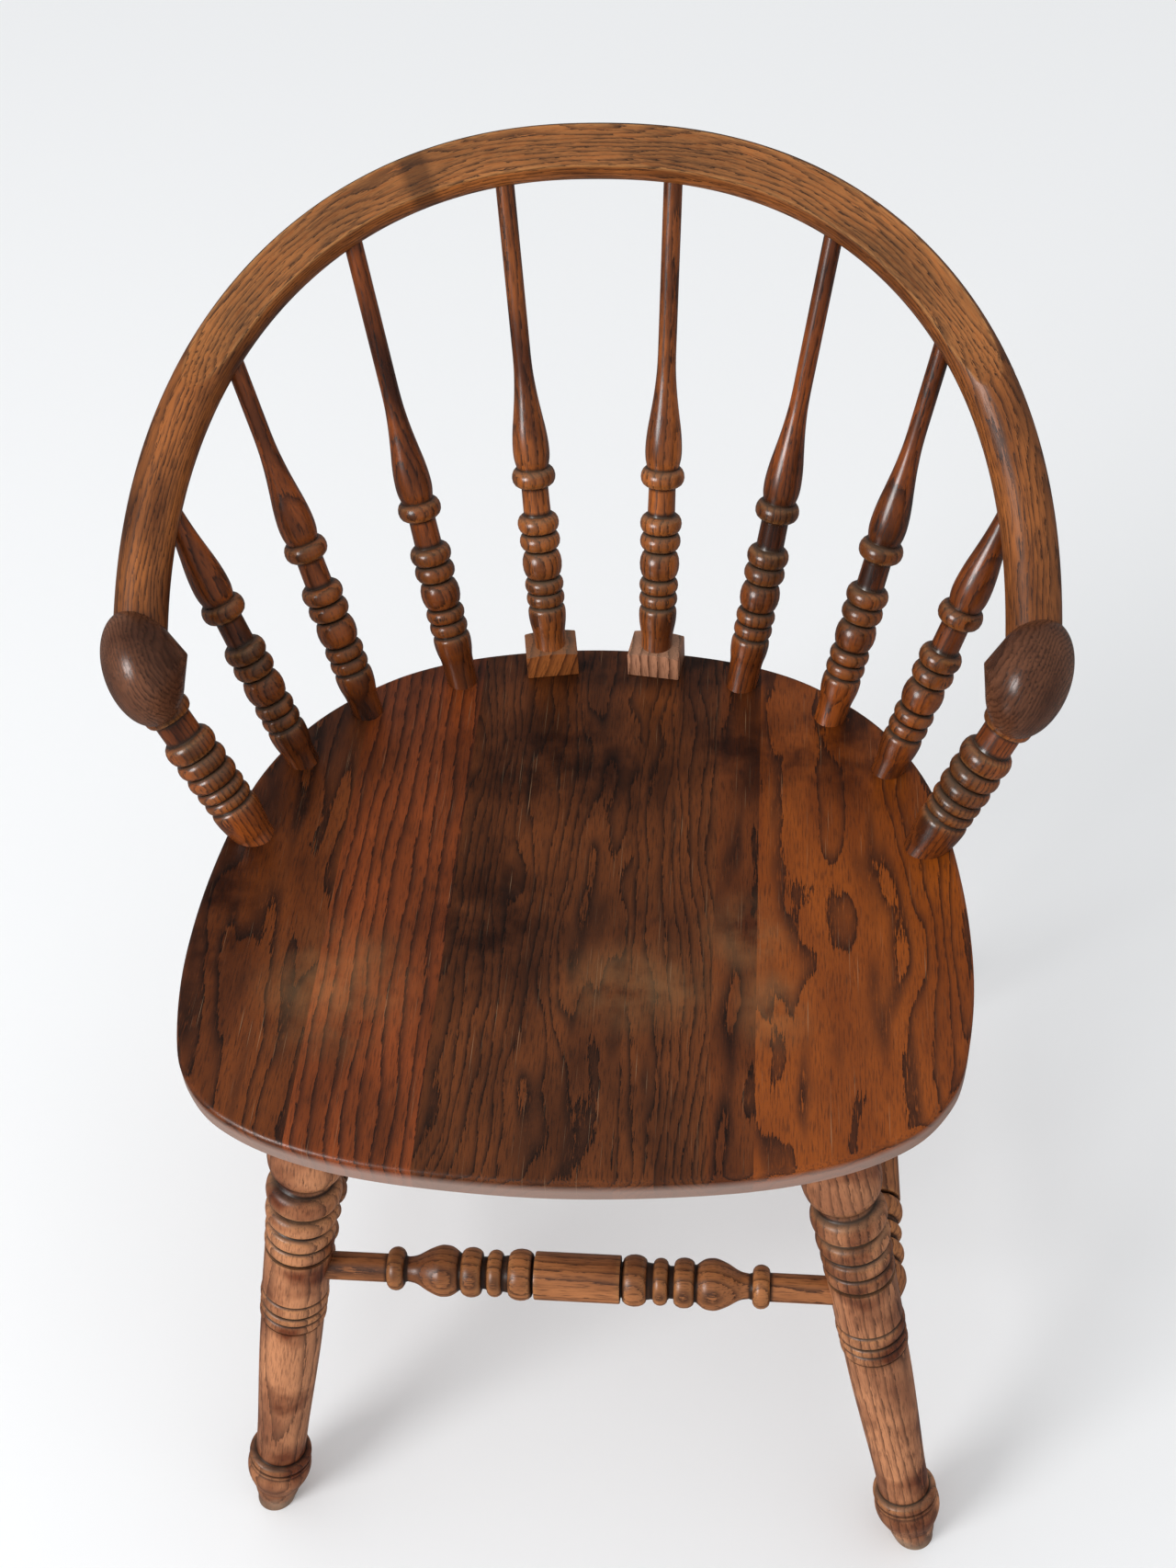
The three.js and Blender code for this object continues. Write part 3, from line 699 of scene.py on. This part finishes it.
for side_name, side in SIDES.items():
    for index, foot_place in enumerate(SPINDLE_FEET[side_name]):
        on_block = index == 0
        foot = Vector((*foot_place, 0)) * MM
        foot.z = SEAT_TOP + (BLOCK_HEIGHT if on_block else 0)
        head = bow_point(SPINDLE_HEADS[side_name][index] * MM)
        number = len(SPINDLE_FEET[side_name]) - index
        spindle = turning(
            spindle_runs(SPINDLE_BALL_HEIGHTS[index], (head - foot).length / MM),
            timber(0.8 * number + side, (14 + 5 * number, 12 * side, 330 * number + 150 * side)))
        node = f"spindle_center_{side_name}" if on_block else f"spindle_{side_name}_{number}"
        # The middle spindles take the paler copy, which in part paints the brighter light on them
        wood = pale_turned_oak if on_block else dark_turned_oak
        finish_piece(f"oak_{node}", spindle, axis_place(foot, head), node, wood)

# Arm posts: two short, thicker turnings of the same pattern that lean out from the seat and
# carry the knobs; a ring under the knob hides the joint.
POST_FOOT = (221, -11, SEAT_TOP / MM)
POST_HEAD = (281, 18, 559.3)
POST_FOOT_RADIUS = 13
POST_TENON_LENGTH = 10
# The outline in mm: tenon, plug, five beads, neck, ring and the tenon in the knob
POST_RUNS = [
    [(-POST_TENON_LENGTH, POST_FOOT_RADIUS)],
    flowing((0, POST_FOOT_RADIUS), (8.3, 14.7), (16.6, 15.9), (22.8, 15.9), (25.9, 13.6)),
    bead(25.9, 34.2, 13.4, 16.2, 13.2),
    bead(34.2, 43, 13.2, 16.5, 13.2),
    bead(43, 55, 13.2, 16.9, 12.6),
    bead(55, 66.9, 12.6, 17, 12.8),
    bead(66.9, 81.5, 12.8, 17.1, 12.6),
    [(82.5, 12.4), (97, 12.4)],
    bead(97.5, 107, 13.6, 16.2, 13.4),
    [(122, 9)],
]
post_places = {}
for side_name, side in SIDES.items():
    foot = Vector((side * POST_FOOT[0], *POST_FOOT[1:])) * MM
    head = Vector((side * POST_HEAD[0], *POST_HEAD[1:])) * MM
    post = turning(POST_RUNS, timber(0.4 * side, (22, 25, 700 * side)))
    post_places[side_name] = axis_place(foot, head)
    finish_piece(
        f"oak_arm_post_{side_name}", post, post_places[side_name], f"arm_post_{side_name}",
        dark_turned_oak)

# Bow: one round oak rod, steam-bent so that back rail and arms are a single piece. The upper face of
# the back is planed flat and runs out in a tongue on each side. Its sharp edges are painted pale, as
# rubbed varnish and a painted highlight, the flat between them is painted lighter, as rubbed varnish
# and a painted sheen, the outer side is painted darker as shade, and a dark stain crosses the face
# left of the middle.
BOW_RADIUS = 17 * MM
BOW_ARM_LENGTH = 7 * MM
BOW_FLAT_HEIGHT = 10.6 * MM
BOW_FLAT_START_Y = 186 * MM
BOW_FLAT_RUN_OUT = 46 * MM
# Where the flat has run out, a sliver stays, so that every ring has the same points
BOW_FLAT_MOST = 0.9999
# How dark the outer side is painted, as shade; how much of the flat lies between its edges, which
# are painted pale as rubbed varnish and a highlight; and how far the flat itself is painted lighter,
# as rubbed varnish and a sheen
BOW_OUTER_SHADE = 0.5
BOW_ARRIS_SHARE = 0.86
BOW_FLAT_RUBBED_AND_SHEEN = 0.4
BOW_FROM_PITH = (34, 12)
BOW_STAIN_X, BOW_STAIN_REACH, BOW_STAIN_GRIME = -108 * MM, 8 * MM, 0.5
BOW_STEPS = 150
BOW_SIDES = 40
# Close-grown oak under honey stain and satin varnish; the pores show as short dark dashes
bow_oak = stained_oak(
    "honey_oak_bow", "#a4602d", "#5d3115", "#230f07", ring=3, band=0.45, wander=34, gloss=0.3)
slope_length = math.hypot(1, BOW_SLOPE)
up_slope = Vector((0, 1, BOW_SLOPE)) / slope_length
off_plane = Vector((1, 0, 0)).cross(up_slope)


def bow_flat(point):
    """Height of the planed face over the bow's centre plane at a point of the centre line."""
    run = (BOW_FLAT_START_Y - point.y) * slope_length / BOW_FLAT_RUN_OUT
    run = min(max(run, 0), 1)
    return BOW_FLAT_HEIGHT + (BOW_RADIUS - BOW_FLAT_HEIGHT) * run * run


arm_end = bow_point(BOW_HALF_WIDTH) - up_slope * BOW_ARM_LENGTH * slope_length
bend = [
    bow_point(BOW_HALF_WIDTH * math.cos(math.pi * step / BOW_STEPS)) for step in range(BOW_STEPS + 1)]
path = [arm_end] + bend + [Vector((-arm_end.x, arm_end.y, arm_end.z))]
bow = bmesh.new()
bow_blank = bow.verts.layers.float_vector.new("blank")
bow_crest = bow.verts.layers.float.new("crest")
bow_stain_and_shade = bow.verts.layers.float.new("groove")
rings = []
length = 0
for index, point in enumerate(path):
    before, after = path[max(index - 1, 0)], path[min(index + 1, len(path) - 1)]
    length += (point - before).length
    across = (after - before).normalized().cross(off_plane)
    half_flat = math.acos(min(bow_flat(point) / BOW_RADIUS, BOW_FLAT_MOST))
    round_part = math.tau - 2 * half_flat
    sweep = [half_flat + round_part * step / BOW_SIDES for step in range(BOW_SIDES + 1)]
    section = [(BOW_RADIUS * math.sin(angle), BOW_RADIUS * math.cos(angle)) for angle in sweep]
    flat_edge, flat_height = section[0]
    section += [(share * flat_edge, flat_height) for share in (-BOW_ARRIS_SHARE, BOW_ARRIS_SHARE)]
    ring = []
    for step, (sideways, up) in enumerate(section):
        vert = bow.verts.new(point + across * sideways + off_plane * up)
        vert[bow_blank] = (
            sideways / MM + BOW_FROM_PITH[0], up / MM + BOW_FROM_PITH[1], length / MM)
        # The flat's edges are painted pale as rubbed varnish and a highlight, the flat between them
        # lighter as a painted sheen
        if step in (0, BOW_SIDES):
            vert[bow_crest] = half_flat
        elif step > BOW_SIDES:
            vert[bow_crest] = BOW_FLAT_RUBBED_AND_SHEEN * half_flat
        else:
            # The outer side is painted darker, as shade
            vert[bow_stain_and_shade] = BOW_OUTER_SHADE * max(0, sideways / BOW_RADIUS)
        if abs(point.x - BOW_STAIN_X) < BOW_STAIN_REACH:
            vert[bow_stain_and_shade] = BOW_STAIN_GRIME
        ring.append(vert)
    rings.append(ring)
for ring, following in zip(rings, rings[1:]):
    for step in range(len(ring)):
        bow.faces.new((ring[step - 1], ring[step], following[step], following[step - 1]))
bow.faces.new(rings[0])
bow.faces.new(rings[-1])
bmesh.ops.recalc_face_normals(bow, faces=bow.faces)
finish_piece("oak_bow", bow, Matrix.Identity(4), "bow", bow_oak)

# Knobs: turned oak knobs that close the arm ends, each with a blunt point towards the sitter and
# a dome outside. Arm and post are glued into them, and hands have polished them dark.
KNOB_TIP = (249, 27.3, 563.6)
KNOB_DIRECTION = (1, -0.43, -0.05)
# Along the axis from the tip in mm: the widest place, and how far the cone and the dome reach from
# it; the cone's edge is an angle in degrees, seen from the widest place
KNOB_MIDDLE = 30
KNOB_RADIUS = 38
KNOB_CONE_REACH = 25.6
KNOB_DOME_REACH = 23.7
KNOB_CONE_EDGE = 28
KNOB_STEPS = 48
KNOB_FACETS = 64
KNOB_TIP_RADIUS = 0.6
KNOB_FROM_PITH = (-60, 38, 90)
# Close-grown oak, dark with handling and a little glossier than the rest
knob_oak = stained_oak(
    "hand_polished_oak_knobs", "#744a34", "#4f2f20", "#21110a", ring=2.4, gloss=0.22)
knob_runs = [(0, KNOB_TIP_RADIUS)]
for step in range(KNOB_STEPS):
    degrees = KNOB_CONE_EDGE + (180 - KNOB_CONE_EDGE) * step / KNOB_STEPS
    reach = KNOB_CONE_REACH if degrees < 90 else KNOB_DOME_REACH
    angle = math.radians(degrees)
    knob_runs.append((KNOB_MIDDLE - reach * math.cos(angle), KNOB_RADIUS * math.sin(angle)))
for side_name, side in SIDES.items():
    tip = Vector((side * KNOB_TIP[0], *KNOB_TIP[1:])) * MM
    place = axis_place(tip, tip + Vector((side * KNOB_DIRECTION[0], *KNOB_DIRECTION[1:])))
    # The grain runs on from the post
    along_post = (post_places[side_name].to_3x3().inverted() @ place.to_3x3()).to_4x4()
    shift_x, shift_y, shift_z = KNOB_FROM_PITH
    in_log = Matrix.Translation((shift_x * side, shift_y, shift_z * side))
    knob = turning([knob_runs], in_log @ along_post, steps=KNOB_FACETS, beaded=False)
    finish_piece(
        f"oak_knob_{side_name}", knob, place, f"knob_{side_name}", knob_oak)

# Floor: a pale seamless studio floor, wide enough to fill every view from above. Reflections
# leave it out, so that the worn satin varnish does not turn milky over so much white.
FLOOR_SIZE = 30
floor_builder = bmesh.new()
bmesh.ops.create_grid(floor_builder, x_segments=1, y_segments=1, size=FLOOR_SIZE)
floor_mesh = bpy.data.meshes.new("studio_floor")
floor_builder.to_mesh(floor_mesh)
floor_builder.free()
floor = bpy.data.objects.new("studio_floor", floor_mesh)
bpy.context.scene.collection.objects.link(floor)
# Matt paper, with hardly any sheen of its own
paper = bpy.data.materials.new("matt_studio_paper")
paper.use_nodes = True
paper_shader = paper.node_tree.nodes["Principled BSDF"]
paper_shader.inputs["Base Color"].default_value = srgb("#f4f5f6")
paper_shader.inputs["Roughness"].default_value = 0.9
floor_mesh.materials.append(paper)
floor.visible_glossy = False

# Light: a white room with one wide soft lamp from the front left. Reflections see a darker room,
# as in a studio whose ceiling is not lit.
ROOM_LIGHT = 0.86
ROOM_IN_REFLECTIONS = 0.12
LAMP_PLACE = Vector((-2.62, -2.38, 2.0))
LAMP_AIM = Vector((0, 0, 0.5))
LAMP_WIDTH = 1.75
LAMP_POWER = 88
world = bpy.data.worlds.new("white_room")
bpy.context.scene.world = world
world.use_nodes = True
room = world.node_tree.nodes["Background"]
room.inputs["Color"].default_value = srgb("#fbfcfd")
path_kind = add(world.node_tree, "ShaderNodeLightPath")
room_level = add(
    world.node_tree, "ShaderNodeMapRange",
    {"Value": path_kind.outputs["Is Glossy Ray"], "To Min": ROOM_LIGHT,
     "To Max": ROOM_IN_REFLECTIONS})
world.node_tree.links.new(room_level.outputs[0], room.inputs["Strength"])
key = bpy.data.lights.new("window_light", "AREA")
key.shape = "DISK"
key.size = LAMP_WIDTH
key.energy = LAMP_POWER
key_lamp = bpy.data.objects.new("window_light", key)
bpy.context.scene.collection.objects.link(key_lamp)
key_lamp.location = LAMP_PLACE
key_lamp.rotation_euler = (LAMP_AIM - LAMP_PLACE).to_track_quat("-Z", "Y").to_euler()

# Camera: held above the front of the chair, a little right of its middle, and tilted down, as the
# photograph was taken. Its place and its angles, in radians, were solved from the photograph.
PHOTO_SIZE = (1280, 1706)
FOCAL_PIXELS = 2253.4
SENSOR_WIDTH = 36
CAMERA_PLACE = Vector((112.9, -917.4, 1436.9)) * MM
CAMERA_YAW, CAMERA_PITCH, CAMERA_ROLL = -0.1191, -0.8032, -0.0698
forward = Vector((
    math.sin(CAMERA_YAW) * math.cos(CAMERA_PITCH), math.cos(CAMERA_YAW) * math.cos(CAMERA_PITCH),
    math.sin(CAMERA_PITCH)))
level_right = Vector((math.cos(CAMERA_YAW), -math.sin(CAMERA_YAW), 0))
level_up = level_right.cross(forward)
right = level_right * math.cos(CAMERA_ROLL) + level_up * math.sin(CAMERA_ROLL)
up = level_up * math.cos(CAMERA_ROLL) - level_right * math.sin(CAMERA_ROLL)
camera = bpy.data.cameras.new("photo_camera")
camera.sensor_width = SENSOR_WIDTH
camera.lens = SENSOR_WIDTH * FOCAL_PIXELS / max(PHOTO_SIZE)
viewer = bpy.data.objects.new("photo_camera", camera)
bpy.context.scene.collection.objects.link(viewer)
axes = Matrix((right, up, -forward)).transposed().to_4x4()
viewer.matrix_world = Matrix.Translation(CAMERA_PLACE) @ axes
bpy.context.scene.camera = viewer
bpy.context.scene.view_settings.view_transform = "Standard"
